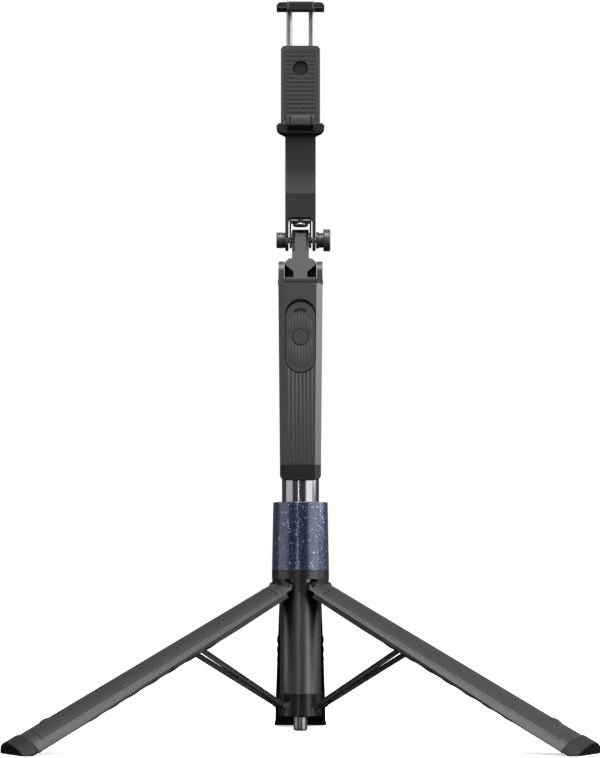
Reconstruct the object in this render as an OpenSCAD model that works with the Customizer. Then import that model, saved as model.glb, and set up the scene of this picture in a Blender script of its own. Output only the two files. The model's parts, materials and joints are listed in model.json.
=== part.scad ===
// Telescopic selfie stick with a folding three-leg base and a sprung phone clamp.
// The column axis is parallel to Z. The floor is z = 0. The front of the stick faces -Y.

/* [Legs] */
// Height of the leg pivots above the floor
pivot_z = 103; // [103:0.5:110]
// Distance of the leg pivots from the column axis
pivot_r = 15.6; // [15.6:0.1:15.8]
// Slope of the open legs below the horizontal, in degrees
leg_slope = 28; // [27.5:0.25:28]
// Length of a leg from its pivot to the end of its foot
leg_len = 216; // [214:1:218]
// Outer radius of a leg shell at the hub
leg_r_top = 18.75; // [18.7:0.01:18.8]
// Outer radius of a leg shell at the foot
leg_r_end = 21.6; // [21.4:0.1:21.8]
// Wall thickness of a leg shell
leg_wall = 2; // [1.8:0.1:2]
// Half of the angle that a leg shell wraps around the column, in degrees
leg_half_angle = 58.5; // [57:0.5:58.5]

/* [Struts] */
// Slope of the line from a leg pivot to its strut pivot, in degrees
link_slope = 30.5; // [30.5:0.25:31]
// Length of a link, the same on the leg and on the strut
link_len = 76.1; // [76:0.1:76.2]
// Thickness of a strut
strut_t = 3; // [2.6:0.1:3]

/* [Column] */
// Outer radius of the sliding column tube
column_r = 13.35; // [13.3:0.05:13.35]
// Top of the sliding column tube
column_top = 148; // [140:1:148]
// Outer radius of the fixed base tube
base_r = 12.2; // [12.1:0.05:12.2]
// Step in radius from one telescopic tube to the next
tube_step = 1.05; // [1.05:0.01:1.08]
// Wall thickness of the telescopic tubes
tube_wall = 0.75; // [0.7:0.01:0.75]

/* [Hub] */
// Outer radius of the hub and of the sleeve's lower edge
hub_r = 18.75; // [18.7:0.01:18.8]
// Outer radius of the sleeve's upper edge
sleeve_r_top = 17.9; // [17.5:0.1:18.5]
// Top of the hub band
hub_top = 112.7; // [112:0.1:113]
// Top of the sleeve
sleeve_top = 157.7; // [156:0.1:158]

/* [Grip] */
// Bottom of the grip's shells
grip_bottom = 181.6; // [180:0.2:184]
// Line where the shells meet the head block
grip_split = 287.7; // [287:0.1:288.5]
// Top of the grip's front wall
grip_front_top = 300.3; // [299.5:0.1:300.8]
// Half width of the grip at its top
grip_w_top = 14.4; // [14.2:0.1:14.6]
// Half width of the grip at its bottom
grip_w_bottom = 13.4; // [13.3:0.1:13.6]
// Distance from the column axis to the grip's front face
grip_front = 22; // [21.5:0.5:23]
// Distance from the column axis to the grip's back face
grip_back = 14; // [13.8:0.1:14.5]

/* [Remote] */
// Width of the remote control
remote_w = 19.2; // [18:0.1:19.2]
// Bottom of the remote control
remote_bottom = 242; // [240:0.5:243]
// Length of the remote control
remote_len = 45.6; // [45:0.1:45.6]
// Centre height of the round button
button_z = 264.7; // [263:0.1:266]
// Radius of the round button
button_r = 5; // [4:0.1:5.5]

/* [Head] */
// Height of the head pin
head_z = 303.8; // [303.5:0.1:304]
// Distance of the head pin behind the column axis
head_y = 8; // [7.5:0.1:8]
// Height of the tilt bolt
tilt_z = 333.4; // [333:0.1:333.8]
// Distance of the tilt bolt behind the column axis
tilt_y = 22; // [21.5:0.1:22.2]
// Width of the phone arm
arm_w = 20.3; // [20:0.1:20.5]
// Radius of the ears around the tilt bolt
ear_r = 7.2; // [7:0.1:7.2]

/* [Clamp] */
// Height of the lower phone seat
seat_low = 407; // [406.8:0.1:407.2]
// Height of the upper phone seat
seat_high = 483.4; // [483:0.1:484]
// Top of the upper jaw
clamp_top = 487.6; // [487.4:0.1:488]
// Half width of the jaws
jaw_w = 15.8; // [15:0.1:16.5]
// Half width of the jaw lips
lip_w = 8.8; // [8:0.1:9.5]
// Height of the clamp's turning centre
swivel_z = 445.2; // [445:0.1:445.5]

/* [Hidden] */
$fn = 64;

// The legs' directions around the column
leg_angles = [-150, -30, 90];
// The column axis stands in front of the middle of the footprint
axis_y = -46;

eps = 0.01;
pin_r = 1;
pin_bore = 1.06;
lug_t = 7;
lug_gap = 0.3;
root_up = 3.5;
fold = 90 - leg_slope;
foot_len = 10;
foot_flare = 0.8;
shell_end = leg_len - foot_len;
panel_half = 42;
panel_start = 10;
panel_end = 199;
panel_t = 0.8;
core_r = 16;
column_bore = 12.5;
hub_bore = column_r + 0.3;
hub_low = 99;
pocket_top = 107.5;
pocket_half = 48;
collar_low = 18.5;
collar_top = 33.2;
collar_r = 13.73;
collar_floor = collar_low + 1.8;
strut_z = pivot_z - 2 * link_len * sin(link_slope);
// The strut pivot in a hanging leg's own axes
strut_x = link_len * sin(leg_slope - link_slope);
strut_s = link_len * cos(leg_slope - link_slope);
strut_eye_t = 5.6;
strut_eye_r = 1.9;
leg_eye_in = 8.6;
leg_eye_out = 10.9;
tube_bottom = 22;
tube_top = 262;
grip_bore = base_r + 0.3;
plug_low = 279.5;
cap_low = 171.8;
remote_front = grip_front + 0.5;
remote_back = 15;
seat_wall = 14.8;
magnet_z = [254, 275];
magnet_r = 3;
screw_z = [196, 275];
screw_r = 2.4;
screw_y = 13;
grip_seam = -12.7;
ear_top = 317.6;
ear_half = 7.5;
ear_in = 10.8;
ear_out = 14.6;
head_pin_r = 1.9;
bolt_r = 2;
head_floor = 294.5;
link_w = 10.65;
neck_w = 5.6;
shoulder_z = 319.8;
window_low = 306.6;
window_high = 316;
slot_top = tilt_z + 14.1;
yoke_top = tilt_z + 12.4;
yoke_t = 1.2;
// The yoke's top sits under the arm's body, which leans forward of the bolt
yoke_y = 17.5;
rivet_len = 7;
rivet_r = 1.6;
slot_front = 13;
slot_back = 3;
pad_t = 1;
lip_front = 16;
housing_top = 460.5;
jaw_low = 400.3;
lip_top = 411.4;
rod_low = 428;
housing_back = 5;
arm_front = 5.3;
arm_back = 12.3;
rod_x = 7.4;
rod_y = 1.1;
rod_r = 1.9;
swivel_r = 3;
swivel_well = 4.9;

black = "#1c1c1c";
charcoal = "#3f3f41";
navy = "#1f2740";
steel = "#8c8c8e";

// Puts a sub-part on the column axis in its colour.
module part(c)
    color(c)
        translate([0, axis_y, 0])
            children();

// A cylinder along X from x0 to x1 at the given y and z.
module x_rod(x0, x1, y, z, r)
    translate([x0, y, z])
        rotate([0, 90, 0])
            cylinder(h = x1 - x0, r = r);

// A cylinder along Y from y0 to y1 at the given x and z.
module y_rod(y0, y1, x, z, r)
    translate([x, y0, z])
        rotate([-90, 0, 0])
            cylinder(h = y1 - y0, r = r);

// A block given by its lowest and highest corners.
module block(low, high)
    translate(low)
        cube(high - low);

// A plate across Y from y0 to y1 with its outline drawn in X and Z.
module y_plate(y0, y1)
    translate([0, y1, 0])
        rotate([90, 0, 0])
            linear_extrude(y1 - y0)
                children();

// A plate across X from x0 to x1 with its outline drawn in Y and Z.
module x_plate(x0, x1)
    translate([x0, 0, 0])
        rotate([90, 0, 90])
            linear_extrude(x1 - x0)
                children();

// A rectangle in X and Z with its four corners rounded by r.
module round_box(w, z0, z1, r) {
    translate([-w, z0 + r])
        square([2 * w, z1 - z0 - 2 * r]);
    translate([-w + r, z0])
        square([2 * (w - r), z1 - z0]);
    for (x = [-w + r, w - r], z = [z0 + r, z1 - r])
        translate([x, z])
            circle(r = r);
}

// A ring around the column axis.
module ring(r_in, r_out, z0, z1)
    translate([0, 0, z0])
        difference() {
            cylinder(h = z1 - z0, r = r_out, $fn = 96);
            translate([0, 0, -1])
                cylinder(h = z1 - z0 + 2, r = r_in, $fn = 96);
        }

// ---- Hub, sleeve and tubes ----

// One child at each leg, with X pointing out along the leg's direction.
module each_leg()
    for (a = leg_angles)
        rotate([0, 0, a])
            children();

module leg_hub()
    part(black)
        difference() {
            union() {
                translate([0, 0, hub_low])
                    cylinder(h = hub_top - hub_low, r = hub_r, $fn = 96);
                translate([0, 0, hub_low])
                    cylinder(h = sleeve_top - 1.7 - hub_low, r = core_r, $fn = 96);
            }
            translate([0, 0, hub_low - 1])
                cylinder(h = 80, r = hub_bore, $fn = 96);
            each_leg()
                difference() {
                    leg_pocket();
                    hub_knuckle();
                }
            each_leg()
                translate([pivot_r, 0, pivot_z])
                    rotate([90, 0, 0])
                        cylinder(h = 2 * lug_t + 2, r = pin_r, center = true);
        }

// The room that a leg's root needs in the lower band of the hub.
module leg_pocket() {
    translate([0, 0, hub_low - 2])
        linear_extrude(pocket_top - hub_low + 2)
            wedge(pocket_half);
}

// A flat sector around X, wide enough to pass the hub's wall.
module wedge(half) {
    reach = 40;
    polygon([[0, 0], reach * [cos(half), -sin(half)], [1.6 * reach, 0],
             reach * [cos(half), sin(half)]]);
}

// The block that a leg turns on, hanging from the roof of its pocket.
module hub_knuckle()
    translate([pivot_r, lug_t, pivot_z])
        rotate([90, 0, 0])
            linear_extrude(2 * lug_t)
                union() {
                    circle(r = 2.2);
                    translate([-4, 0])
                        square([6.1, 2 * (pocket_top - pivot_z)]);
                }

module hub_sleeve()
    part(navy)
        difference() {
            translate([0, 0, hub_top])
                cylinder(h = sleeve_top - hub_top, r1 = hub_r, r2 = sleeve_r_top, $fn = 96);
            translate([0, 0, hub_top - 1])
                cylinder(h = sleeve_top, r = core_r, $fn = 96);
        }

module sleeve_ring()
    part(black) {
        ring(base_r, hub_bore, 149.5, sleeve_top - 1.7);
        ring(base_r, core_r, sleeve_top - 1.7, sleeve_top);
    }

module leg_pivot_pins()
    part(steel)
        each_leg()
            translate([pivot_r, 0, pivot_z])
                rotate([90, 0, 0])
                    cylinder(h = 20, r = pin_r, center = true);

// One telescopic tube: number 0 is the fixed base tube.
module tube(n, z1)
    part(steel)
        ring(base_r - n * tube_step - tube_wall, base_r - n * tube_step, tube_bottom + 4 * n, z1);

module base_tube() tube(0, tube_top);
module tube_2() tube(1, tube_top + 1);
module tube_3() tube(2, tube_top + 2);
module tube_4() tube(3, tube_top + 3);
module tube_5() tube(4, grip_split);

// ---- Grip ----

// The grip's outline in X and Y for a half width w.
module grip_outline(w)
    polygon([
        [-w + 4, -grip_front], [w - 4, -grip_front], [w, -grip_front + 5.2],
        [w, grip_back - 7], [w - 6, grip_back], [-w + 6, grip_back],
        [-w, grip_back - 7], [-w, -grip_front + 5.2]
    ]);

// The grip's solid body between two heights, slightly wider at its top.
module grip_body()
    hull() {
        translate([0, 0, grip_bottom])
            linear_extrude(eps)
                grip_outline(grip_w_bottom);
        translate([0, 0, grip_split - eps])
            linear_extrude(eps)
                grip_outline(grip_w_top);
    }

// A slot shape with round ends, upright, in X and Z.
module pill(w, z0, z1) {
    translate([0, z0 + w / 2])
        circle(r = w / 2);
    translate([0, z1 - w / 2])
        circle(r = w / 2);
    translate([-w / 2, z0 + w / 2])
        square([w, z1 - z0 - w]);
}

// The finger notch over the remote's round top.
module remote_notch()
    y_rod(-30, -20.5, 0, remote_bottom + remote_len - remote_w / 2 + 1.9, remote_w / 2 + 0.35);

module grip_front()
    part(charcoal)
        difference() {
            intersection() {
                grip_body();
                block([-20, -30, 170], [20, grip_seam, 300]);
            }
            y_plate(-30, -seat_wall)
                pill(remote_w + 0.7, remote_bottom - 0.35, remote_bottom + remote_len + 0.35);
            for (z = magnet_z)
                y_rod(-seat_wall - 1, -13.3, 0, z, magnet_r);
            remote_notch();
        }

module grip_rear()
    part(charcoal)
        difference() {
            intersection() {
                grip_body();
                block([-20, grip_seam, 170], [20, 30, 300]);
            }
            translate([0, 0, 170])
                cylinder(h = 130, r = grip_bore, $fn = 96);
            for (z = screw_z)
                y_rod(screw_y, screw_y + 2, 0, z, screw_r);
        }

module grip_head()
    part(charcoal)
        difference() {
            union() {
                translate([0, 0, grip_split])
                    linear_extrude(grip_front_top - grip_split)
                        grip_outline(grip_w_top);
                x_plate(-ear_out, ear_out)
                    union() {
                        translate([head_y, ear_top - ear_half])
                            circle(r = ear_half);
                        translate([head_y - ear_half, grip_split + 6])
                            square([2 * ear_half, ear_top - ear_half - grip_split - 6]);
                    }
            }
            block([-ear_in, 0.3, head_floor], [ear_in, 30, 330]);
            block([-ear_in, -30, grip_front_top], [ear_in, 30, 330]);
            block([-20, 15.6, grip_split - 1], [20, 30, 330]);
            x_rod(-15, 15, head_y, head_z, head_pin_r);
            remote_notch();
        }

module grip_plug()
    part(black)
        ring(base_r - 4 * tube_step, grip_bore, plug_low, grip_split);

module grip_end_cap()
    part(black)
        difference() {
            intersection() {
                translate([0, 0, cap_low])
                    linear_extrude(grip_bottom - cap_low)
                        grip_outline(grip_w_bottom);
                y_plate(-30, 30)
                    round_box(14, cap_low, grip_split, 5.5);
            }
            translate([0, 0, 170])
                cylinder(h = 30, r = grip_bore, $fn = 96);
        }

module grip_screws()
    part(steel)
        for (z = screw_z)
            difference() {
                y_rod(screw_y, screw_y + 0.9, 0, z, screw_r);
                y_rod(screw_y + 0.4, screw_y + 2, 0, z, 1);
            }

// ---- Remote control ----

module remote_base()
    part(black)
        difference() {
            y_plate(-18.5, -remote_back)
                pill(remote_w, remote_bottom, remote_bottom + remote_len);
            y_plate(-19, -16)
                pill(remote_w - 3, remote_bottom + 1.5, remote_bottom + remote_len - 1.5);
        }

module remote_cover()
    part(charcoal)
        difference() {
            y_plate(-remote_front, -18.5)
                pill(remote_w, remote_bottom, remote_bottom + remote_len);
            y_plate(-20.9, -18)
                pill(remote_w - 3, remote_bottom + 1.5, remote_bottom + remote_len - 1.5);
            y_rod(-30, -18, 0, button_z, button_r + 0.3);
        }

module remote_button()
    part(black) {
        y_rod(-remote_front + 0.1, -20.6, 0, button_z, button_r);
        y_rod(-20.6, -19.9, 0, button_z, 2);
    }

module remote_board()
    part("#1f5c3a")
        block([-6, -18.9, remote_bottom + 6], [6, -17.9, remote_bottom + remote_len - 6]);

module remote_battery()
    part(steel)
        y_rod(-17.9, -16, 0, magnet_z[1], 7.5);

module remote_magnets()
    part(steel)
        for (z = magnet_z)
            y_rod(-seat_wall, -13.3, 0, z, magnet_r);

// ---- Head link and phone arm ----

module head_pin()
    part(steel)
        x_rod(-15, 15, head_y, head_z, head_pin_r);

// The side outline of the head link: a round at each pivot joined by a web.
module link_outline() {
    reach_y = tilt_y - head_y;
    reach_z = tilt_z - head_z;
    lean = atan2(reach_y, reach_z);
    translate([tilt_y, tilt_z])
        circle(r = ear_r);
    translate([head_y, head_z])
        circle(r = 6.5);
    translate([head_y, head_z])
        rotate(-lean)
            polygon([[-6.4, 0], [-7.1, norm([reach_y, reach_z])],
                     [7.1, norm([reach_y, reach_z])], [6.4, 0]]);
}

// Square bars that cut the neck's two front edges back to flats.
module neck_chamfers()
    translate([0, head_y, head_z])
        rotate([-atan2(tilt_y - head_y, tilt_z - head_z), 0, 0])
            for (s = [-1, 1])
                translate([s * neck_w, -7.6, 38])
                    rotate([0, 0, s * 40])
                        cube([3.4, 3.4, 36], center = true);

module head_link()
    part(charcoal)
        difference() {
            union() {
                x_plate(-neck_w, neck_w)
                    link_outline();
                intersection() {
                    x_plate(-link_w, link_w)
                        link_outline();
                    y_plate(-20, 50)
                        polygon([[-link_w, 290], [link_w, 290], [link_w, shoulder_z - 3],
                                 [link_w - 3, shoulder_z], [3 - link_w, shoulder_z],
                                 [-link_w, shoulder_z - 3]]);
                }
            }
            for (s = [-1, 1])
                y_plate(-5, 13)
                    polygon([[s * 4.6, window_low], [s * 11, window_low],
                             [s * 11, window_high], [s * 4.6, window_high - 5.6]]);
            neck_chamfers();
            x_rod(-12, 12, tilt_y, tilt_z, bolt_r + 0.06);
            x_rod(-12, 12, head_y, head_z, head_pin_r + 0.06);
        }

module phone_arm()
    part(charcoal)
        difference() {
            intersection() {
                x_plate(-arm_w / 2, arm_w / 2)
                    union() {
                        polygon([
                            [arm_front, 460], [arm_front, 363], [tilt_y - ear_r, tilt_z + 1],
                            [tilt_y, tilt_z], [tilt_y + ear_r - 0.2, tilt_z + 2],
                            [arm_back, 374], [arm_back, 460]
                        ]);
                        translate([tilt_y, tilt_z])
                            circle(r = ear_r);
                    }
                y_plate(-10, 40)
                    union() {
                        translate([0, swivel_z])
                            circle(r = arm_w / 2);
                        translate([-arm_w / 2, 300])
                            square([arm_w, swivel_z - 300]);
                    }
            }
            y_plate(-10, 40)
                union() {
                    translate([-8, 310])
                        square([16, slot_top - 2.1 - 310]);
                    translate([-5.9, 310])
                        square([11.8, slot_top - 310]);
                    for (s = [-1, 1])
                        translate([s * 5.9, slot_top - 2.1])
                            circle(r = 2.1);
                }
            x_rod(-12, 12, tilt_y, tilt_z, bolt_r);
            translate([0, yoke_y, yoke_top])
                cylinder(h = rivet_len, r = rivet_r);
            y_rod(0, 20, 0, swivel_z, swivel_r);
        }

module arm_yoke()
    part(steel)
        difference() {
            x_plate(-7.3, 7.3)
                union() {
                    translate([tilt_y, tilt_z])
                        circle(r = 5.5);
                    polygon([[tilt_y - 5.5, tilt_z], [tilt_y + 5.5, tilt_z],
                             [yoke_y + 5.5, yoke_top], [yoke_y - 5.5, yoke_top]]);
                }
            block([-6.1, -10, 300], [6.1, 40, yoke_top - yoke_t]);
            x_rod(-12, 12, tilt_y, tilt_z, bolt_r);
            translate([0, yoke_y, tilt_z + 9])
                cylinder(h = 11, r = rivet_r);
        }

module yoke_rivet()
    part(steel)
        translate([0, yoke_y, 0]) {
            translate([0, 0, yoke_top - yoke_t - 2.6])
                cylinder(h = 2.6, r = 5.1);
            translate([0, 0, yoke_top - yoke_t])
                cylinder(h = yoke_t + rivet_len, r = rivet_r);
        }

module tilt_bolt()
    part(steel)
        x_rod(-14, 18, tilt_y, tilt_z, bolt_r);

module bolt_cap()
    part(black)
        difference() {
            x_rod(-16.1, -arm_w / 2, tilt_y, tilt_z, 5.3);
            x_rod(-14, 0, tilt_y, tilt_z, bolt_r);
        }

module tilt_knob()
    part(black)
        difference() {
            union() {
                translate([10.45, tilt_y, tilt_z])
                    rotate([0, 90, 0])
                        cylinder(h = 4.95, r1 = 5.6, r2 = 4.6);
                x_rod(15.4, 20, tilt_y, tilt_z, 7.6);
            }
            x_rod(0, 18.3, tilt_y, tilt_z, bolt_r + 0.08);
        }

module friction_washers()
    part(black)
        for (x = [-6.1, 5.7])
            difference() {
                x_rod(x, x + 0.4, tilt_y, tilt_z, 5);
                x_rod(x - 1, x + 1, tilt_y, tilt_z, bolt_r);
            }

// ---- Phone clamp ----

module clamp_housing()
    part(black)
        difference() {
            y_plate(-slot_back + 0.6, housing_back)
                round_box(13, jaw_low + 0.3, housing_top, 3);
            for (s = [-1, 1])
                translate([s * rod_x, rod_y, rod_low - 19])
                    cylinder(h = 60, r = rod_r + 0.1);
            y_rod(-10, 10, 0, swivel_z, swivel_r + 0.06);
            y_rod(-10, 0.5, 0, swivel_z, swivel_well);
        }

module clamp_pad()
    part(charcoal)
        y_plate(-slot_back, -slot_back + 0.6)
            difference() {
                round_box(11, 411, housing_top - 2.5, 2);
                translate([0, swivel_z])
                    circle(r = swivel_well);
            }

module lower_jaw()
    part(black) {
        y_plate(-slot_front, -slot_back + 0.6)
            intersection() {
                round_box(jaw_w, jaw_low, jaw_low + 20, 4.5);
                translate([-20, jaw_low])
                    square([40, seat_low - pad_t - jaw_low]);
            }
        x_plate(-lip_w, lip_w)
            polygon([[-slot_front, jaw_low + 1.7], [-lip_front, jaw_low + 4.9],
                     [-lip_front, lip_top], [-slot_front, lip_top]]);
    }

module lower_jaw_pad()
    part(charcoal)
        block([-jaw_w + 1, -slot_front, seat_low - pad_t], [jaw_w - 1, -slot_back, seat_low]);

module upper_jaw()
    part(black)
        difference() {
            union() {
                y_plate(-slot_front, housing_back)
                    intersection() {
                        round_box(jaw_w, clamp_top - 20, clamp_top, 3);
                        translate([-20, seat_high + pad_t])
                            square([40, 10]);
                    }
                x_plate(-lip_w, lip_w)
                    polygon([[-slot_front, seat_high - 1.7], [-lip_front, seat_high - 1.7],
                             [-lip_front, clamp_top - 1], [-lip_front + 1, clamp_top],
                             [-slot_front, clamp_top]]);
            }
            for (s = [-1, 1])
                translate([s * rod_x, rod_y, seat_high - 5])
                    cylinder(h = 7.5, r = rod_r);
        }

module upper_jaw_pad()
    part(charcoal)
        block([-jaw_w + 1, -slot_front, seat_high], [jaw_w - 1, -slot_back, seat_high + pad_t]);

module jaw_rods()
    part(steel)
        for (s = [-1, 1])
            translate([s * rod_x, rod_y, rod_low])
                cylinder(h = seat_high + 2.5 - rod_low, r = rod_r);

module swivel_pin()
    part(steel) {
        y_rod(-0.9, 0.2, 0, swivel_z, 4.6);
        y_rod(0.2, arm_back, 0, swivel_z, swivel_r);
        y_rod(arm_back, arm_back + 1.5, 0, swivel_z, 5);
    }

// ---- Column foot ----

module column_tube()
    part(steel)
        ring(column_bore, column_r, collar_floor, column_top);

module strut_collar()
    part(black)
        difference() {
            union() {
                ring(column_r, collar_r, collar_floor, collar_top);
                ring(column_r, 14.3, collar_top - 1.3, collar_top);
                translate([0, 0, collar_low])
                    cylinder(h = 1.8, r = collar_r);
                each_leg()
                    for (s = [-1, 1])
                        translate([pivot_r, s * 6.4 + 0.5, strut_z])
                            rotate([90, 0, 0])
                                linear_extrude(1)
                                    union() {
                                        circle(r = 1.6);
                                        translate([-4.5, -1.6])
                                            square([4.5, 3.2]);
                                    }
            }
            translate([0, 0, collar_floor])
                cylinder(h = 20, r = column_r, $fn = 96);
            each_leg()
                block([13.3, -5.9, 21.2], [20, 5.9, 40]);
            each_leg()
                translate([pivot_r, 0, strut_z])
                    rotate([90, 0, 0])
                        cylinder(h = 20, r = pin_r, center = true);
        }

module centre_stub()
    part(steel)
        translate([0, 0, 8.5])
            cylinder(h = 10, r = 4.5);

module collar_pins()
    part(steel)
        each_leg()
            translate([pivot_r, 0, strut_z])
                rotate([90, 0, 0])
                    cylinder(h = 13.8, r = pin_r, center = true);

// ---- Legs ----

// A leg is drawn hanging straight down from its pivot at the origin, with the
// column axis at x = -pivot_r, and is then swung open.
module open_leg(i)
    rotate([0, 0, leg_angles[i]])
        translate([pivot_r, 0, pivot_z])
            rotate([0, -fold, 0])
                children();

// Outer radius of a leg at a distance s along it.
function leg_r(s) = leg_r_top + (leg_r_end - leg_r_top) * s / leg_len;

// A wall around the column between two radii offsets, over a part of the leg's length.
module leg_wall_part(half_angle, s0, s1, inside, outside)
    translate([-pivot_r, 0, 0])
        rotate([0, 0, -half_angle])
            rotate_extrude(angle = 2 * half_angle, $fn = 96)
                polygon([[leg_r(s0) - inside, -s0], [leg_r(s0) + outside, -s0],
                         [leg_r(s1) + outside, -s1], [leg_r(s1) - inside, -s1]]);

// The leg seen square on: its width grows towards the foot.
module leg_outline()
    translate([-10, 0, 0])
        rotate([90, 0, 90])
            linear_extrude(30)
                polygon([[-11.2, root_up], [11.2, root_up], [13.7, -1], [18.6, -shell_end],
                         [-18.6, -shell_end], [-13.7, -1]]);

// The two eyes that sit on the hub's pivot pin.
module leg_root_eyes()
    for (s = [-1, 1])
        translate([0, s * 8.8 + 1.2, 0])
            rotate([90, 0, 0])
                cylinder(h = 2.4, r = 2.4);

// What the hub's pocket leaves no room for, around the top of the leg.
module leg_root_trim()
    difference() {
        block([-40, -30, -4.6], [30, 30, 10]);
        translate([-pivot_r, 0, -6])
            linear_extrude(20)
                wedge(pocket_half - 2);
    }

module leg_shell(i)
    part("#6a6a6a")
        difference() {
            open_leg(i)
                difference() {
                    union() {
                        intersection() {
                            leg_wall_part(leg_half_angle, -root_up, shell_end, leg_wall, 0);
                            leg_outline();
                        }
                        leg_root_eyes();
                    }
                    block([-10, -lug_t - lug_gap, -3.2], [10, lug_t + lug_gap, 10]);
                    leg_wall_part(panel_half, panel_start, panel_end, panel_t, 1);
                    leg_root_trim();
                    rotate([90, 0, 0])
                        cylinder(h = 40, r = pin_bore, center = true);
                    leg_pin_solids(pin_r);
                }
            block([-300, -300, -20], [300, 300, 0]);
        }

// The two pins that join a leg to its strut, in the hanging leg's own axes.
module leg_pin_solids(r)
    for (s = [-1, 1])
        translate([strut_x, s * 11.6, -strut_s])
            rotate([90, 0, 0])
                cylinder(h = 6.6, r = r, center = true);

module leg_panel(i)
    part("#454545")
        open_leg(i)
            leg_wall_part(panel_half, panel_start, panel_end, panel_t, 0);

module leg_foot(i)
    part(black)
        difference() {
            open_leg(i)
                intersection() {
                    leg_wall_part(leg_half_angle, shell_end, leg_len, 12.5, foot_flare);
                    block([-4.8, -30, -leg_len - 1], [12, 30, 0]);
                }
            block([-300, -300, -20], [300, 300, 0]);
        }

module leg_pins(i)
    part(steel)
        open_leg(i)
            leg_pin_solids(pin_r);

module leg_1_shell() leg_shell(0);
module leg_1_panel() leg_panel(0);
module leg_1_foot() leg_foot(0);
module leg_1_pins() leg_pins(0);
module leg_2_shell() leg_shell(1);
module leg_2_panel() leg_panel(1);
module leg_2_foot() leg_foot(1);
module leg_2_pins() leg_pins(1);
module leg_3_shell() leg_shell(2);
module leg_3_panel() leg_panel(2);
module leg_3_foot() leg_foot(2);
module leg_3_pins() leg_pins(2);

// ---- Struts ----

module strut(i)
    part(charcoal)
        rotate([0, 0, leg_angles[i]])
            translate([pivot_r, 0, strut_z])
                rotate([0, -link_slope, 0])
                    difference() {
                        union() {
                            translate([0, 0, -strut_t / 2])
                                linear_extrude(strut_t)
                                    for (s = [-1, 1])
                                        polygon([[0, s * 2.9], [0, s * strut_eye_t],
                                                 [link_len, s * leg_eye_out],
                                                 [link_len, s * leg_eye_in]]);
                            translate([8, 0, 0])
                                cube([3, 8, strut_t], center = true);
                            rotate([90, 0, 0])
                                cylinder(h = 2 * strut_eye_t, r = strut_eye_r, center = true);
                            for (s = [-1, 1])
                                translate([link_len, s * 9.75, 0])
                                    rotate([90, 0, 0])
                                        cylinder(h = leg_eye_out - leg_eye_in, r = strut_t / 2,
                                                 center = true);
                        }
                        for (x = [0, link_len])
                            translate([x, 0, 0])
                                rotate([90, 0, 0])
                                    cylinder(h = 40, r = pin_bore, center = true);
                    }

module strut_1() strut(0);
module strut_2() strut(1);
module strut_3() strut(2);

leg_hub();
hub_sleeve();
sleeve_ring();
leg_pivot_pins();
base_tube();
tube_2();
tube_3();
tube_4();
tube_5();
grip_plug();
grip_front();
grip_rear();
grip_head();
grip_end_cap();
grip_screws();
remote_base();
remote_cover();
remote_button();
remote_board();
remote_battery();
remote_magnets();
head_pin();
head_link();
phone_arm();
arm_yoke();
yoke_rivet();
tilt_bolt();
bolt_cap();
tilt_knob();
friction_washers();
clamp_housing();
clamp_pad();
lower_jaw();
lower_jaw_pad();
upper_jaw();
upper_jaw_pad();
jaw_rods();
swivel_pin();
column_tube();
strut_collar();
centre_stub();
collar_pins();
leg_1_shell();
leg_1_panel();
leg_1_foot();
leg_1_pins();
leg_2_shell();
leg_2_panel();
leg_2_foot();
leg_2_pins();
leg_3_shell();
leg_3_panel();
leg_3_foot();
leg_3_pins();
strut_1();
strut_2();
strut_3();
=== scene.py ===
# %% [markdown]
# # A selfie stick with a three-leg base
# This lesson dresses a packed assembly. The frame holds every rigid piece at its real
# place and size, in metres. Each step says what a piece is on the real object, how it
# could be made, and why this way was chosen.

# %% Load the frame
import json
import math
import bmesh
import bpy
from mathutils import Matrix, Vector


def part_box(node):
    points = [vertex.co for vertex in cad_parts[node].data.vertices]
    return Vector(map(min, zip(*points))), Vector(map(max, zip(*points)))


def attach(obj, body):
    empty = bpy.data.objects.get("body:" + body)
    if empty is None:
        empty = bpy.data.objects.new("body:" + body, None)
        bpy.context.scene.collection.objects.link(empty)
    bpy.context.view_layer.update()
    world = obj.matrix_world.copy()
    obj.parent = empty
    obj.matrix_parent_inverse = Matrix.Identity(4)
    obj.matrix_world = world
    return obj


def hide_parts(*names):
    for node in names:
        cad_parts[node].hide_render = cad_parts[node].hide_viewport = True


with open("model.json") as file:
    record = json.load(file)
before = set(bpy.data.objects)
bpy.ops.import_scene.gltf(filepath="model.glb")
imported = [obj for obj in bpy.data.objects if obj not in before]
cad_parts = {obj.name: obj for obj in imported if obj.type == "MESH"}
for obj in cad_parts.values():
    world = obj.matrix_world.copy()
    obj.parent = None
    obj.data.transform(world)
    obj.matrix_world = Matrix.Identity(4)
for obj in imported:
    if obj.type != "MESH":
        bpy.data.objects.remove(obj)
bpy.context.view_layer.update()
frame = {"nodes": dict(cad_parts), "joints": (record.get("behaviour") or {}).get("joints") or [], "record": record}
nodes = frame["nodes"]
joints = {joint["name"]: joint for joint in frame["joints"]}
mm = 0.001

# %% [markdown]
# ## Camera
# A long lens a little above the floor keeps the stick's verticals parallel. The camera
# looks up very slightly, as it would on a low tripod in a product studio.

# %% Camera
sleeve_low, sleeve_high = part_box("hub_sleeve")
column_x = (sleeve_low.x + sleeve_high.x) / 2
column_y = (sleeve_low.y + sleeve_high.y) / 2
camera_distance = 1.8
camera_height = 0.12
camera_shift = 0.0003
aim_height = 0.2389
lens_mm = 129.94

camera_data = bpy.data.cameras.new("camera")
camera_data.lens = lens_mm
camera = bpy.data.objects.new("camera", camera_data)
camera.location = (column_x - camera_shift, column_y - camera_distance, camera_height)
pitch = math.atan((aim_height - camera_height) / camera_distance)
camera.rotation_euler = (math.pi / 2 + pitch, 0, 0)
bpy.context.scene.collection.objects.link(camera)
bpy.context.scene.camera = camera

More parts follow.
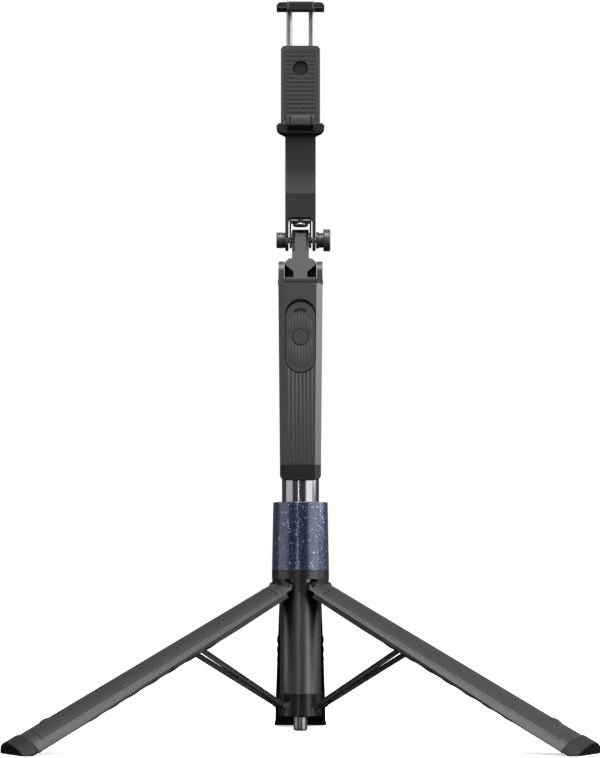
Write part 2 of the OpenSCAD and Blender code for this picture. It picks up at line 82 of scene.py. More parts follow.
# %% [markdown]
# ## Studio
# Dark plastics are shaped by what they reflect. A white surround gives the pale
# background. Six soft boxes light the stick: a large one on each side, one level with the
# head and a little behind its right edge, a narrow strip in front for the thin line down
# the tube, a strong one high in front for the faces that look up, and a weak one overhead.

# %% Floor, surround and lights
bpy.context.scene.view_settings.view_transform = "Standard"


def linear(code):
    """Turns an sRGB hex colour into the linear values that a shader works in."""
    parts = [int(code[i:i + 2], 16) / 255 for i in (1, 3, 5)]
    flat = [p / 12.92 if p <= 0.04045 else ((p + 0.055) / 1.055) ** 2.4 for p in parts]
    return (*flat, 1.0)


def add(tree, kind, settings=None, **sockets):
    """Adds a node, sets its properties, and fills or links its sockets."""
    made = tree.nodes.new(kind)
    for key, value in (settings or {}).items():
        setattr(made, key, value)
    for key, value in sockets.items():
        socket = made.inputs[int(key[1:]) if key[1:].isdigit() else key.replace("_", " ")]
        if isinstance(value, bpy.types.NodeSocket):
            tree.links.new(value, socket)
        else:
            socket.default_value = value
    return made


world = bpy.data.worlds.new("studio")
world.use_nodes = True
sky_tree = world.node_tree
sky_tree.nodes.clear()
sky_place = add(sky_tree, "ShaderNodeTexCoord").outputs["Generated"]
sky_split = add(sky_tree, "ShaderNodeSeparateXYZ", Vector=sky_place)
sky_height = add(sky_tree, "ShaderNodeMapRange", Value=sky_split.outputs["Z"],
                 From_Min=-0.1, From_Max=0.9, To_Min=0.02, To_Max=0.8)
sky_light = add(sky_tree, "ShaderNodeBackground", Color=(1, 1, 1, 1),
                Strength=sky_height.outputs["Result"])
sky_white = add(sky_tree, "ShaderNodeBackground", Color=(1, 1, 1, 1), Strength=1.0)
sky_seen = add(sky_tree, "ShaderNodeLightPath").outputs["Is Camera Ray"]
sky_mix = add(sky_tree, "ShaderNodeMixShader", _0=sky_seen, _1=sky_light.outputs[0],
              _2=sky_white.outputs[0])
add(sky_tree, "ShaderNodeOutputWorld", Surface=sky_mix.outputs[0])
bpy.context.scene.world = world


def soft_box(name, place, target, size, power):
    """Hangs an area light facing a target. Sizes are in metres, and power is in watts."""
    data = bpy.data.lights.new(name, "AREA")
    data.shape = "RECTANGLE"
    data.size, data.size_y = size
    data.energy = power
    lamp = bpy.data.objects.new(name, data)
    lamp.location = place
    aim = Vector(target) - Vector(place)
    lamp.rotation_euler = aim.to_track_quat("-Z", "Y").to_euler()
    bpy.context.scene.collection.objects.link(lamp)


grip_aim = (column_x, column_y, 0.26)
head_aim = (column_x, column_y, 0.56)
soft_box("edge_box", (0.85, column_y + 0.12, 0.56), head_aim, (0.4, 0.69), 9)
soft_box("right_box", (0.95, column_y - 0.62, 0.36), grip_aim, (0.95, 1.1), 8.5)
soft_box("left_box", (-1.07, column_y - 0.29, 0.36), grip_aim, (1.0, 1.0), 4)
soft_box("strip_box", (-0.3, column_y - 1.45, 0.3), grip_aim, (0.05, 1.1), 1.6)
soft_box("front_box", (-0.1, column_y - 0.95, 1.9), grip_aim, (0.9, 0.6), 54)
soft_box("top_box", (0.0, column_y - 0.25, 1.7), grip_aim, (1.3, 0.5), 2)

floor_half = 6
floor_drop = 0.0002
floor_mesh = bpy.data.meshes.new("floor")
floor_shape = bmesh.new()
bmesh.ops.create_grid(floor_shape, x_segments=1, y_segments=1, size=floor_half)
floor_shape.to_mesh(floor_mesh)
floor_shape.free()
floor = bpy.data.objects.new("floor", floor_mesh)
floor.location.z = -floor_drop
floor.visible_diffuse = False
floor.visible_glossy = False
bpy.context.scene.collection.objects.link(floor)

# %% [markdown]
# ## Materials
# Each kind of surface has one function, which is given its colours and the size of its
# grain. What is the same all over a surface is set on the shader itself.

# %% Material helpers
def new_material(name, **look):
    """Starts a material with a Principled shader and its fixed values."""
    made = bpy.data.materials.new(name)
    made.use_nodes = True
    tree = made.node_tree
    shader = tree.nodes["Principled BSDF"]
    for key, value in look.items():
        shader.inputs[key.replace("_", " ")].default_value = value
    place = add(tree, "ShaderNodeTexCoord").outputs["Object"]
    return made, tree, shader, place


mottle_scale = 18.0
streak_depth_mm = 0.02


def moulded(name, dark, light, roughness, grain_mm, depth, **look):
    """A moulded plastic or rubber: a fine spark-eroded grain and a slow mottling."""
    made, tree, shader, place = new_material(name, **look)
    slow = add(tree, "ShaderNodeTexNoise", Vector=place, Scale=mottle_scale, Detail=3.0)
    tone = add(tree, "ShaderNodeMix", {"data_type": "RGBA"}, Factor=slow.outputs["Fac"])
    tone.inputs["A"].default_value = linear(dark)
    tone.inputs["B"].default_value = linear(light)
    tree.links.new(tone.outputs["Result"], shader.inputs["Base Color"])
    grain = add(tree, "ShaderNodeTexNoise", Vector=place, Scale=1000 / grain_mm, Detail=2.0)
    wear = add(tree, "ShaderNodeMapRange", Value=grain.outputs["Fac"],
               To_Min=roughness - 0.05, To_Max=roughness + 0.07)
    tree.links.new(wear.outputs["Result"], shader.inputs["Roughness"])
    bump = add(tree, "ShaderNodeBump", Height=grain.outputs["Fac"], Distance=depth * mm,
               Strength=0.6)
    tree.links.new(bump.outputs["Normal"], shader.inputs["Normal"])
    return made


def metal(name, colour, roughness, streak_mm, strength=0.25):
    """A drawn or turned metal: fine lines that run along Z and spread its highlight."""
    made, tree, shader, place = new_material(name, Metallic=1.0)
    stretch = add(tree, "ShaderNodeMapping", Vector=place)
    stretch.inputs["Scale"].default_value = (1000 / streak_mm, 1000 / streak_mm, 6)
    lines = add(tree, "ShaderNodeTexNoise", Vector=stretch.outputs["Vector"], Scale=1.0,
                Detail=3.0)
    shade = add(tree, "ShaderNodeMix", {"data_type": "RGBA"}, Factor=lines.outputs["Fac"])
    shade.inputs["A"].default_value = [0.86 * c for c in linear(colour)[:3]] + [1]
    shade.inputs["B"].default_value = linear(colour)
    tree.links.new(shade.outputs["Result"], shader.inputs["Base Color"])
    gloss = add(tree, "ShaderNodeMapRange", Value=lines.outputs["Fac"],
                To_Min=roughness * 0.8, To_Max=roughness * 1.25)
    tree.links.new(gloss.outputs["Result"], shader.inputs["Roughness"])
    bump = add(tree, "ShaderNodeBump", Height=lines.outputs["Fac"], Distance=streak_depth_mm * mm,
               Strength=strength)
    tree.links.new(bump.outputs["Normal"], shader.inputs["Normal"])
    return made


# %% [markdown]
# The plastics are glass-filled nylon and ABS with a fine spark-eroded texture. Such a
# grain is about 0.1 mm, too fine to show here, so it is drawn at least three times as
# coarse. A colour pair gives the dark and the light end of a slow mottling, and the three
# numbers are the roughness, the grain's size and the grain's depth in millimetres.

# %% Plastics and rubbers
nylon = moulded("satin_nylon", "#19191a", "#202021", 0.46, 0.3, 0.012,
                Specular_IOR_Level=0.3)
grip_abs = moulded("matt_abs", "#2b2b2c", "#343435", 0.45, 0.35, 0.025)
# A glossier copy of the grip's ABS for the ribs: its lighter colour is a painted highlight on the ribs.
ribs_painted_highlight_abs = moulded("polished_ribs_painted_highlight", "#3c3c3d", "#454546", 0.36, 0.35, 0.01)
arm_abs = moulded("arm_abs", "#313132", "#383839", 0.48, 0.3, 0.03)
link_abs = moulded("link_abs", "#171718", "#1d1d1e", 0.55, 0.3, 0.02,
                   Specular_IOR_Level=0.35)
gloss_abs = moulded("gloss_abs", "#0d0d0e", "#141415", 0.3, 0.5, 0.01)
panel_rubber = moulded("grained_rubber", "#121213", "#1e1e1f", 0.62, 0.8, 0.25,
                       Specular_IOR_Level=0.35)
# A lighter, glossier copy of the shell's nylon for the lips: its lighter colour is a painted highlight along each
# lip.
lip_nylon_painted_highlight = moulded("polished_nylon_painted_highlight", "#333334", "#3a3a3b", 0.25, 0.3, 0.005)
knob_abs = moulded("knob_abs", "#2c2c2d", "#343435", 0.42, 0.3, 0.02)
foot_rubber = moulded("foot_rubber", "#0d0d0d", "#141414", 0.6, 0.5, 0.03,
                      Specular_IOR_Level=0.22)
pad_rubber = moulded("pad_rubber", "#121213", "#1b1b1c", 0.6, 0.5, 0.04)
board_mask = moulded("solder_mask", "#0f4a2c", "#14603a", 0.3, 0.5, 0.01)
floor_paint = moulded("floor_paint", "#fdfdfd", "#ffffff", 0.9, 4.0, 0.0,
                      Emission_Color=(1, 1, 1, 1), Emission_Strength=0.55)
floor_mesh.materials.append(floor_paint)

# %% [markdown]
# The tubes are aluminium with a dark bright-dipped finish, and the column has a satin
# black anodised coat. The yoke, the rods and the screws are bare steel, the pins are
# blackened, and the stub at the bottom is zinc-plated.

# %% Metals
tube_dark = metal("dark_anodised_aluminium", "#939398", 0.15, 0.25)
column_coat = metal("satin_black_anodising", "#6c6c6e", 0.36, 0.2)
steel = metal("brushed_steel", "#9c9c9e", 0.34, 0.12, 0.12)
black_oxide = metal("black_oxide_steel", "#3b3b3d", 0.35, 0.2)
satin_zinc = metal("satin_zinc", "#9a9a9c", 0.3, 0.3)

# %% [markdown]
# The sleeve is lacquered navy with metallic flake. Each flake is one cell of a Voronoi
# pattern, with its own brightness and its own tilt, so that single flakes catch the
# light. A clear coat lies over them.

# %% Flake lacquer
flake_mm = 0.85
flake_relief_mm = 0.06
flake, flake_tree, flake_shader, flake_place = new_material(
    "navy_flake_lacquer", Metallic=0.6, Coat_Weight=1.0, Coat_Roughness=0.18)
flake_cells = add(flake_tree, "ShaderNodeTexVoronoi", Vector=flake_place,
                  Scale=1000 / flake_mm)
flake_split = add(flake_tree, "ShaderNodeSeparateColor", Color=flake_cells.outputs["Color"])
flake_pick = add(flake_tree, "ShaderNodeValToRGB", Fac=flake_split.outputs[0])
flake_stops = flake_pick.color_ramp.elements
flake_stops[0].position, flake_stops[0].color = 0.0, linear("#141c31")
flake_stops[1].position, flake_stops[1].color = 1.0, linear("#8c96ac")
for stop_at, stop_colour in ((0.55, "#1a2642"), (0.84, "#2a3858"), (0.95, "#4c5a78")):
    flake_stops.new(stop_at).color = linear(stop_colour)
flake_tree.links.new(flake_pick.outputs["Color"], flake_shader.inputs["Base Color"])
flake_gloss = add(flake_tree, "ShaderNodeMapRange", Value=flake_split.outputs[1],
                  To_Min=0.22, To_Max=0.5)
flake_tree.links.new(flake_gloss.outputs["Result"], flake_shader.inputs["Roughness"])
flake_bump = add(flake_tree, "ShaderNodeBump", Height=flake_split.outputs[2],
                 Distance=flake_relief_mm * mm, Strength=0.35)
flake_tree.links.new(flake_bump.outputs["Normal"], flake_shader.inputs["Normal"])

# %% [markdown]
# ## Rounded copies
# Every real edge has a small radius, and that radius is what catches the light. The
# frame's own meshes are left alone. A copy is merged, its flat faces are joined back
# together, and a Bevel modifier rounds what stays sharp. The copy then stands for the node.

# %% Helpers for new pieces
def settle(name, shape, body, material, stands_for=()):
    """Makes a piece from a bmesh, and says what it rides on and what it stands for."""
    data = bpy.data.meshes.new(name)
    shape.to_mesh(data)
    shape.free()
    data.materials.append(material)
    piece = bpy.data.objects.new(name, data)
    bpy.context.scene.collection.objects.link(piece)
    for face in data.polygons:
        face.use_smooth = True
    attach(piece, body)
    if stands_for:
        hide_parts(*stands_for)
    return piece


body_of_node = {}
for body_name, members in frame["record"]["behaviour"]["bodies"].items():
    for member in members:
        body_of_node[member] = body_name
merge_mm = 0.002
flat_degrees = 1.0


def rounded(node, material, radius_mm, angle=28):
    """A copy of a node whose edges, where sharper than an angle, are rounded in mm."""
    shape = bmesh.new()
    shape.from_mesh(nodes[node].data)
    bmesh.ops.remove_doubles(shape, verts=shape.verts, dist=merge_mm * mm)
    if radius_mm:
        bmesh.ops.dissolve_limit(shape, angle_limit=math.radians(flat_degrees),
                                 verts=shape.verts, edges=shape.edges)
    piece = settle(node + "_finish", shape, body_of_node[node], material,
                   (node,))
    if not radius_mm:
        piece.data.set_sharp_from_angle(angle=math.radians(angle))
        return
    rounding = piece.modifiers.new("edge_radius", "BEVEL")
    rounding.width = radius_mm * mm
    rounding.segments = 2
    rounding.limit_method = "ANGLE"
    rounding.angle_limit = math.radians(angle)
    rounding.use_clamp_overlap = True
    rounding.harden_normals = False
    sharp = piece.modifiers.new("face_normals", "WEIGHTED_NORMAL")
    sharp.keep_sharp = True


# %% Round the moulded and machined nodes
rounding_plan = [
    (("leg_1_shell", "leg_2_shell", "leg_3_shell"), nylon, 0.5),
    (("leg_1_panel", "leg_2_panel", "leg_3_panel"), panel_rubber, 0.4),
    (("leg_1_foot", "leg_2_foot", "leg_3_foot"), foot_rubber, 0.6),
    (("strut_1", "strut_2", "strut_3"), link_abs, 0.3),
    (("leg_hub",), gloss_abs, 0.4),
    (("sleeve_ring",), gloss_abs, 0.4),
    (("hub_sleeve",), flake, 0.5),
    (("strut_collar",), gloss_abs, 0.3),
    (("centre_stub",), satin_zinc, 1.2),
    (("grip_front", "grip_rear"), grip_abs, 0.45),
    (("grip_head",), grip_abs, 0.35),
    (("grip_end_cap",), foot_rubber, 0.8),
    (("head_link",), link_abs, 0.3),
    (("arm_yoke",), steel, 0.25),
    (("yoke_rivet",), steel, 1.1),
    (("swivel_pin",), black_oxide, 0.4),
    (("clamp_housing",), grip_abs, 0.7),
    (("lower_jaw", "upper_jaw"), foot_rubber, 0.4),
    (("clamp_pad", "lower_jaw_pad", "upper_jaw_pad"), pad_rubber, 0.25),
    (("remote_base",), grip_abs, 0.3),
]
for group, finish, radius in rounding_plan:
    for node in group:
        rounded(node, finish, radius)
rounded("phone_arm", arm_abs, 0.6, angle=12)
rounded("remote_button", grip_abs, 0.3)
rounded("remote_cover", grip_abs, 0.0)

# %% [markdown]
# ## Moulded details
# Ribs, rims and rails are small solids that sink a little into the face they belong to.
# Each starts from a cube, a cone, a sphere or a circle. They are drawn in millimetres
# about the column's axis, and one step at the end scales them to metres.

# %% Shapes in millimetres
def box_mm(node):
    """A node's low and high corners in millimetres, measured from the column's axis."""
    low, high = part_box(node)
    shift = Vector((column_x, column_y, 0))
    return (low - shift) / mm, (high - shift) / mm


def bar(shape, low, high, edge=0.25, turn=None):
    """A block between two corners with rounded edges, turned by a matrix if one is given."""
    low, high = Vector(low), Vector(high)
    corners = bmesh.ops.create_cube(shape, size=1)["verts"]
    bmesh.ops.scale(shape, vec=high - low, verts=corners)
    bmesh.ops.translate(shape, vec=(low + high) / 2, verts=corners)
    sides = list({side for corner in corners for side in corner.link_edges})
    done = bmesh.ops.bevel(shape, geom=sides, affect="EDGES", offset=edge, segments=2,
                           profile=0.5, material=-1)
    if turn is not None:
        points = {point for face in done["faces"] for point in face.verts}
        bmesh.ops.transform(shape, matrix=turn, verts=list(points))


def rod(shape, start, end, radius, sides=16):
    """A round bar between two points."""
    start, end = Vector(start), Vector(end)
    aim = (end - start).to_track_quat("Z", "Y").to_matrix().to_4x4()
    place = Matrix.Translation((start + end) / 2) @ aim
    bmesh.ops.create_cone(shape, cap_ends=True, segments=sides, radius1=radius,
                          radius2=radius, depth=(end - start).length, matrix=place)


def blob(shape, centre, radii):
    """An ellipsoid about a centre."""
    place = Matrix.Translation(centre) @ Matrix.Diagonal((*radii, 1))
    bmesh.ops.create_uvsphere(shape, u_segments=20, v_segments=12, radius=1, matrix=place)


def hoop(shape, radius, height, thick, half_angle, centre_x=0.0, steps=40):
    """Part of a round hoop about an upright axis, closed at its two ends."""
    ring = bmesh.ops.create_circle(shape, cap_ends=False, segments=10, radius=thick)["verts"]
    stand = Matrix.Translation((radius, 0, 0)) @ Matrix.Rotation(math.pi / 2, 4, "X")
    place = (Matrix.Translation((centre_x, 0, height))
             @ Matrix.Rotation(-half_angle, 4, "Z") @ stand)
    bmesh.ops.transform(shape, matrix=place, verts=ring)
    edges = list({edge for point in ring for edge in point.link_edges})
    made = bmesh.ops.spin(shape, geom=ring + edges, cent=(centre_x, 0, height), axis=(0, 0, 1),
                          angle=2 * half_angle, steps=steps, use_merge=False)
    last = [item for item in made["geom_last"] if isinstance(item, bmesh.types.BMEdge)]
    bmesh.ops.holes_fill(shape, edges=edges + last, sides=0)


def turned(shape, outline, centre, steps=72):
    """A shape turned on a lathe about an axis along X. The outline is in pairs of x and r."""
    points = [shape.verts.new((x, 0, r)) for x, r in outline]
    edges = [shape.edges.new(pair) for pair in zip(points, points[1:])]
    bmesh.ops.spin(shape, geom=points + edges, cent=(0, 0, 0), axis=(1, 0, 0),
                   angle=2 * math.pi, steps=steps, use_merge=True)
    bmesh.ops.remove_doubles(shape, verts=shape.verts, dist=0.0005)
    bmesh.ops.translate(shape, vec=centre, verts=shape.verts)


crease_degrees = 40


def place_mm(name, shape, body, material, stands_for=(), frame_mm=None):
    """Takes a shape in millimetres to its place in metres and settles it as a piece."""
    if frame_mm is not None:
        bmesh.ops.transform(shape, matrix=frame_mm, verts=shape.verts)
    to_metres = Matrix.Translation((column_x, column_y, 0)) @ Matrix.Scale(mm, 4)
    bmesh.ops.transform(shape, matrix=to_metres, verts=shape.verts)
    bmesh.ops.recalc_face_normals(shape, faces=shape.faces)
    piece = settle(name, shape, body, material, stands_for)
    piece.data.set_sharp_from_angle(angle=math.radians(crease_degrees))


# %% [markdown]
# ### Ribs on the grip and on the remote control
# Seven low ribs run up the grip's front, from the cap to the round end of the remote. The
# remote has eight of its own in a field of the same outline, and they stop short of the
# round button. Two thin bars on each side of the button close the two halves of the field.

# %% Grip ribs
grip_low = box_mm("grip_front")[0]
remote_low, remote_high = box_mm("remote_cover")
button_low, button_high = box_mm("remote_button")
remote_r = (remote_high.x - remote_low.x) / 2
remote_foot = remote_low.z + remote_r
remote_head = remote_high.z - remote_r
button_z = (button_low.z + button_high.z) / 2
button_r = (button_high.x - button_low.x) / 2


def half_chord(radius, x):
    """Half of a circle's height at a distance x from its centre line."""
    return math.sqrt(max(radius * radius - x * x, 0))


rib_pitch = 2.53
rib_half = 0.6
rib_proud = 0.45
rib_sink = 0.3
rib_edge = 0.3
rib_start = grip_low.z + 0.8
seam_r = remote_r + 0.7
seam_gap = 0.5
ribs = bmesh.new()
for number in range(-3, 4):
    x = number * rib_pitch
    top = remote_foot - half_chord(seam_r, x) - seam_gap
    bar(ribs, (x - rib_half, grip_low.y - rib_proud, rib_start),
        (x + rib_half, grip_low.y + rib_sink, top), rib_edge)
# The ribs' lighter ABS is a painted highlight.
place_mm("grip_ribs", ribs, "grip", ribs_painted_highlight_abs)

# %% Remote ribs
field_r = 8.2
field_head = remote_head - 6.4
field_foot = remote_foot + 2.2
fine_half = 0.55
fine_proud = 0.38
fine_edge = 0.26
bar_half = 0.25
bar_proud = 0.2
bar_edge = 0.15
bar_lift = 1.1
bar_start = button_r + 0.8
bar_end = 8.6
least_gap = 1.5
fine_ribs = bmesh.new()
for number in range(-4, 4):
    x = 2 * number + 1
    top = field_head + half_chord(field_r, x)
    bottom = field_foot - half_chord(field_r, x)
    gap = max(half_chord(button_r + 1.0, x), least_gap)
    for low_z, high_z in ((bottom, button_z - gap), (button_z + gap, top)):
        bar(fine_ribs, (x - fine_half, remote_low.y - fine_proud, low_z),
            (x + fine_half, remote_low.y + rib_sink, high_z), fine_edge)
for side in (-1, 1):
    near, far = sorted((side * bar_start, side * bar_end))
    for lift in (-bar_lift, bar_lift):
        level = button_z + lift
        bar(fine_ribs, (near, remote_low.y - bar_proud, level - bar_half),
            (far, remote_low.y + rib_sink, level + bar_half), bar_edge)
place_mm("remote_ribs", fine_ribs, "remote", ribs_painted_highlight_abs)

# %% [markdown]
# The remote has a short arched slot near its top, of the kind that takes a lanyard. The
# shade in the slot is painted as a dark arch of black rubber, and a lip in lighter nylon runs
# along the slot's lower edge as a painted highlight. Each arch is part of a hoop, flattened
# and laid back against the cover.

# %% Lanyard slot
slot_z = remote_high.z - 4.4
slot_r = 6.2
slot_lip_r = 5.0
slot_half_angle = math.radians(38)
slot_flatness = 0.25
lay_back = Matrix.Rotation(math.pi / 2, 4, "X") @ Matrix.Rotation(math.pi / 2, 4, "Z")
stand_up = Matrix.Translation((0, remote_low.y, slot_z - slot_r)) @ lay_back
# The first arch is painted shade standing for the slot; the second is the lip, whose lighter colour is a painted
# highlight.
for name, radius, thick, finish in (("remote_slot", slot_r, 0.95, foot_rubber),
                                    ("remote_slot_lip", slot_lip_r, 0.28, lip_nylon_painted_highlight)):
    arch = bmesh.new()
    hoop(arch, radius, 0, thick, slot_half_angle)
    bmesh.ops.scale(arch, vec=(1, 1, slot_flatness), verts=arch.verts)
    place_mm(name, arch, "remote", finish, frame_mm=stand_up)

# %% [markdown]
# A finger notch above the remote lets a nail reach under it. The shade on its floor is painted as a thin disc of
# black rubber.
# Only a crescent of the disc shows, because the rest lies inside the remote's cover.

# %% Painted shade in the finger notch
notch_z = remote_head + 1.9
notch_y = remote_high.y - 1.9
notch_r = remote_r + 0.2
notch_thick = 0.3
notch = bmesh.new()
bmesh.ops.create_circle(notch, cap_ends=True, segments=64, radius=notch_r)
floor_face = bmesh.ops.extrude_face_region(notch, geom=notch.faces[:])["geom"]
raised = [item for item in floor_face if isinstance(item, bmesh.types.BMVert)]
bmesh.ops.translate(notch, vec=(0, 0, notch_thick), verts=raised)
notch_place = (Matrix.Translation((0, notch_y, notch_z))
               @ Matrix.Rotation(math.pi / 2, 4, "X"))
# A thin dark disc that stands for the notch's shade: painted shade.
place_mm("notch_painted_shade", notch, "grip", foot_rubber, frame_mm=notch_place)
print("grip and remote dressed")

# %% [markdown]
# ### Leg details
# A leg is drawn as it hangs, with its pivot at the origin and its length along -Z, and is
# then swung open with one matrix. Its shell widens towards the foot, so a radius is read
# from the leg's own length.

# %% Leg frames
leg_pivot_r = 15.6
leg_length = 216.0
leg_swing = math.radians(62)
shell_root_r = 18.75
shell_spread = 2.85


def leg_r(s):
    """The outer radius of a leg shell at a distance s from its pivot."""
    return shell_root_r + shell_spread * s / leg_length


def swung(joint_name, angle):
    """The matrix from a part's own axes, in millimetres, to its open place."""
    pivot = Vector(joints[joint_name]["pos_m"]) - Vector((column_x, column_y, 0))
    outward = Vector((pivot.x, pivot.y, 0)).normalized()
    across = Vector((0, 0, 1)).cross(outward)
    axes = Matrix((outward, across, (0, 0, 1))).transposed().to_4x4()
    return Matrix.Translation(pivot / mm) @ axes @ Matrix.Rotation(angle, 4, "Y")


def on_leg(angle_deg, s, sink=0.0):
    """A point on the shell's outer face, at an angle around it and a distance along it."""
    angle = math.radians(angle_deg)
    radius = leg_r(s) - sink
    return Vector((radius * math.cos(angle) - leg_pivot_r, radius * math.sin(angle), -s))


# %% [markdown]
# Seven soft rubber feet sit along each lower edge of a leg, and give it its wavy outline.
# They stay just inside the leg's third of the circle, so that folded legs do not touch. A
# lip runs along both sides of the grained panel, in a lighter nylon whose colour paints the
# highlight line along it, and a thin seam closes each end of it. Two ridges cross the end of
# the shell before the foot, and a low oval nub stands on the outer face.

# %% Leg sizes
bump_count = 7
bump_start = 70
bump_pitch = 15.5
bump_angle = 55.2
bump_sink = 1.7
bump_radii = (1.5, 1.25, 7.2)
lip_angle = 42.5
lip_start = 11
lip_end = 198
lip_sink = 0.12
lip_radius = 0.42
seam_places = (10, 199)
seam_radius = 0.3
seam_half_angle = math.radians(42)
ridge_places = ((205.6, 0.1), (207.6, 0.3))
ridge_radius = 0.5
ridge_half_angle = math.radians(56)
nub_place = 187
nub_sink = 0.7
nub_radii = (1.9, 4.2, 4.8)

# %% Dress the legs
for number in (1, 2, 3):
    body = "leg_%d" % number
    open_leg = swung("leg_%d_fold" % number, -leg_swing)
    bumps = bmesh.new()
    for side in (-1, 1):
        for count in range(bump_count):
            s = bump_start + bump_pitch * count
            blob(bumps, on_leg(side * bump_angle, s, bump_sink), bump_radii)
    place_mm(body + "_edge_feet", bumps, body, foot_rubber, frame_mm=open_leg)
    lips = bmesh.new()
    for side in (-1, 1):
        rod(lips, on_leg(side * lip_angle, lip_start, lip_sink),
            on_leg(side * lip_angle, lip_end, lip_sink), lip_radius)
    # The lips' lighter colour is a painted highlight line.
    place_mm(body + "_panel_lips", lips, body, lip_nylon_painted_highlight, frame_mm=open_leg)
    seams = bmesh.new()
    for s in seam_places:
        hoop(seams, leg_r(s) - lip_sink, -s, seam_radius, seam_half_angle, -leg_pivot_r)
    place_mm(body + "_panel_seams", seams, body, foot_rubber, frame_mm=open_leg)
    ridges = bmesh.new()
    for s, proud in ridge_places:
        hoop(ridges, leg_r(s) + proud, -s, ridge_radius, ridge_half_angle, -leg_pivot_r)
    place_mm(body + "_foot_ridges", ridges, body, nylon, frame_mm=open_leg)
    nub = bmesh.new()
    blob(nub, on_leg(0, nub_place, nub_sink), nub_radii)
    place_mm(body + "_nub", nub, body, panel_rubber, frame_mm=open_leg)
print("legs dressed")

# %% [markdown]
# ### Strut rails
# A strut is moulded as two slim beams, which lean apart from its narrow end to its wide
# one. Each beam has a rail along its top and its bottom edge, joined by cross ribs, which
# keeps it stiff with little plastic. The strut's joint is at its wide end, so the beams are
# drawn from the narrow end and moved back by their length.

# %% Dress the struts
strut_narrow = 4.25
strut_wide = 9.75
strut_run = 76.1
strut_lean = math.atan((strut_wide - strut_narrow) / strut_run)
strut_swing = math.radians(30.5)
rail_start = 8
rail_end = 70
rail_level = 1.2
rail_half = 0.3
rail_inner = 1.05
rail_outer = 1.6
rail_edge = 0.12
cross_half = 0.5
for number in (1, 2, 3):
    rails = bmesh.new()
    for side in (-1, 1):
        lean = (Matrix.Translation((0, side * strut_narrow, 0))
                @ Matrix.Rotation(side * strut_lean, 4, "Z"))
        for face in (-1, 1):
            near, far = sorted((face * rail_inner, face * rail_outer))
            for level in (-rail_level, rail_level):
                bar(rails, (rail_start, near, level - rail_half),
                    (rail_end, far, level + rail_half), rail_edge, lean)
            for x in range(18, 61, 14):
                bar(rails, (x - cross_half, near, -rail_level),
                    (x + cross_half, far, rail_level), rail_edge, lean)
    name = "strut_%d" % number
    opened = swung(name + "_fold", -strut_swing) @ Matrix.Translation((-strut_run, 0, 0))
    place_mm(name + "_rails", rails, name, grip_abs, frame_mm=opened)

# %% [markdown]
# ### Knob, bolt cap and jaws
# The tilt knob and the cap over the bolt are turned shapes. A line of points gives half
# of the section, and a full spin about the bolt's axis makes the solid.

# %% Knob and cap
knob_low, knob_high = box_mm("tilt_knob")
bolt_centre = Vector((0, (knob_low.y + knob_high.y) / 2, (knob_low.z + knob_high.z) / 2))
knob_outline = [(10.45, 2.2), (10.45, 5.3), (10.7, 5.55), (12.0, 5.5), (12.3, 5.1),
                (14.4, 4.9), (15.2, 4.9), (15.3, 6.6), (15.6, 7.25), (16.2, 7.5),
                (17.0, 7.38), (18.5, 7.38), (19.3, 7.5), (19.8, 7.15), (20, 6.4),
                (19.8, 5.6), (19.8, 0)]
knob = bmesh.new()
turned(knob, knob_outline, bolt_centre)
place_mm("tilt_knob_turned", knob, "knob", knob_abs, ("tilt_knob",))
cap_outline = [(-10.2, 0), (-10.2, 5.0), (-10.4, 5.2), (-11.4, 5.2), (-11.6, 4.95),
               (-11.8, 5.3), (-15.4, 5.3), (-15.9, 5.1), (-16.1, 4.6), (-16.1, 3.6),
               (-15.7, 3.3), (-15.7, 0)]
cap = bmesh.new()
turned(cap, cap_outline, bolt_centre)
place_mm("bolt_cap_turned", cap, "arm", knob_abs, ("bolt_cap",))

# %% [markdown]
# The jaws' lips have a raised cheek at each end, so the lip looks slightly hollow.

# %% Jaw cheeks
lower_low, lower_high = box_mm("lower_jaw")
upper_low, upper_high = box_mm("upper_jaw")
lip_half = 8.8
cheek_wide = 1.3
cheek_over = 0.2
cheek_proud = 0.3
cheek_depth = 3
cheek_edge = 0.4
lower_lip_z = lower_low.z + 4.9
lower_over = 0.25
upper_inset = 0.1
hollow_half = lip_half - 2
hollow_proud = 0.05
hollow_rise = 0.2
hollow_depth = 2.6
hollow_over = 0.1
lower_cheeks = bmesh.new()
upper_cheeks = bmesh.new()
for side in (-1, 1):
    near, far = sorted((side * (lip_half - cheek_wide), side * (lip_half + cheek_over)))
    bar(lower_cheeks, (near, lower_low.y - cheek_proud, lower_lip_z),
        (far, lower_low.y + cheek_depth, lower_high.z + lower_over), cheek_edge)
    bar(upper_cheeks, (near, upper_low.y - cheek_proud, upper_low.z + upper_inset),
        (far, upper_low.y + cheek_depth, upper_high.z - upper_inset), cheek_edge)
bar(lower_cheeks, (-hollow_half, lower_low.y - hollow_proud, lower_lip_z + hollow_rise),
    (hollow_half, lower_low.y + hollow_depth, lower_high.z + hollow_over), cheek_edge)
place_mm("lower_jaw_cheeks", lower_cheeks, "clamp", knob_abs)
place_mm("upper_jaw_cheeks", upper_cheeks, "upper_jaw", knob_abs)

# %% [markdown]
# The rubber pads that touch the phone are ribbed. The ribs of the front pad leave a round
# field free about the head of the swivel pin.

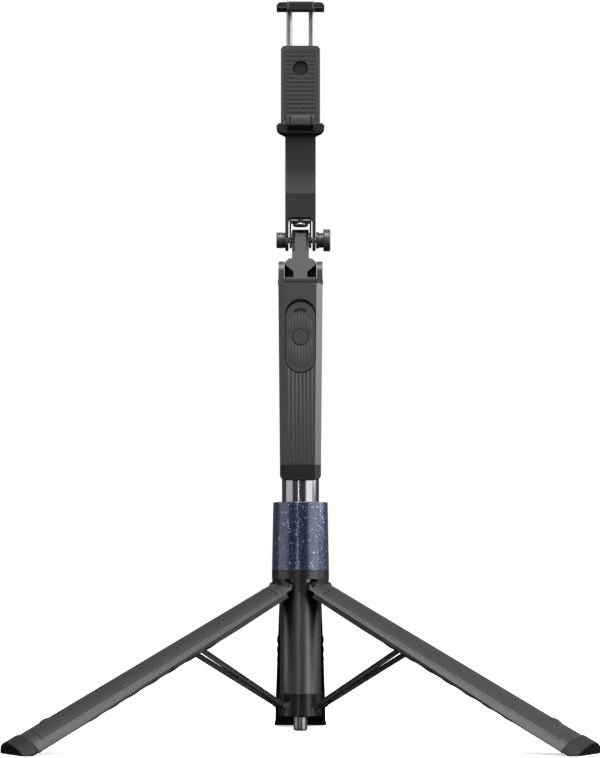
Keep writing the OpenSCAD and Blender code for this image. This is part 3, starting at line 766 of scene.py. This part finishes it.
# %% Pad ribs
pad_low, pad_high = box_mm("clamp_pad")
pin_low, pin_high = box_mm("swivel_pin")
pin_z = (pin_low.z + pin_high.z) / 2
pin_field_r = 6.2
pad_half = 9.4
back_pitch = 2.9
back_half = 0.6
back_proud = 0.2
back_sink = 0.3
pad_edge = 0.2
back_start = 2.4
back_end = pad_high.z - 2
back_ribs = bmesh.new()
z = pad_low.z + back_start
while z <= back_end:
    clear = half_chord(pin_field_r, z - pin_z)
    for side in (-1, 1):
        near, far = sorted((side * clear, side * pad_half))
        bar(back_ribs, (near, pad_low.y - back_proud, z - back_half),
            (far, pad_low.y + back_sink, z + back_half), pad_edge)
    z += back_pitch
place_mm("clamp_pad_ribs", back_ribs, "clamp", pad_rubber)

seat_count = 12
seat_pitch = 2.3
seat_half = 0.55
seat_margin = 0.8
seat_proud = 0.25
for name, node, body, face in (("lower_pad_ribs", "lower_jaw_pad", "clamp", "top"),
                               ("upper_pad_ribs", "upper_jaw_pad", "upper_jaw", "bottom")):
    seat_low, seat_high = box_mm(node)
    level = seat_high.z if face == "top" else seat_low.z
    seat_ribs = bmesh.new()
    for count in range(seat_count):
        x = (count - (seat_count - 1) / 2) * seat_pitch
        bar(seat_ribs, (x - seat_half, seat_low.y + seat_margin, level - seat_proud),
            (x + seat_half, seat_high.y - seat_margin, level + seat_proud), pad_edge)
    place_mm(name, seat_ribs, body, pad_rubber)
print("head dressed")

# %% [markdown]
# ## The other nodes
# The tubes, pins, screws and the remote's inner parts need no rounding. They keep the
# frame's own meshes and only get their finish.

# %% Materials for the nodes that stay as they are
plain_plan = [
    (("base_tube", "tube_2", "tube_3", "tube_4", "tube_5"), tube_dark),
    (("column_tube",), column_coat),
    (("grip_screws", "remote_battery", "remote_magnets", "tilt_bolt", "jaw_rods"), steel),
    (("leg_pivot_pins", "head_pin", "collar_pins", "leg_1_pins", "leg_2_pins",
      "leg_3_pins"), black_oxide),
    (("grip_plug", "friction_washers"), gloss_abs),
    (("remote_board",), board_mask),
]
for group, finish in plain_plan:
    for node in group:
        data = nodes[node].data
        if data.materials:
            for index in range(len(data.materials)):
                data.materials[index] = finish
        else:
            data.materials.append(finish)
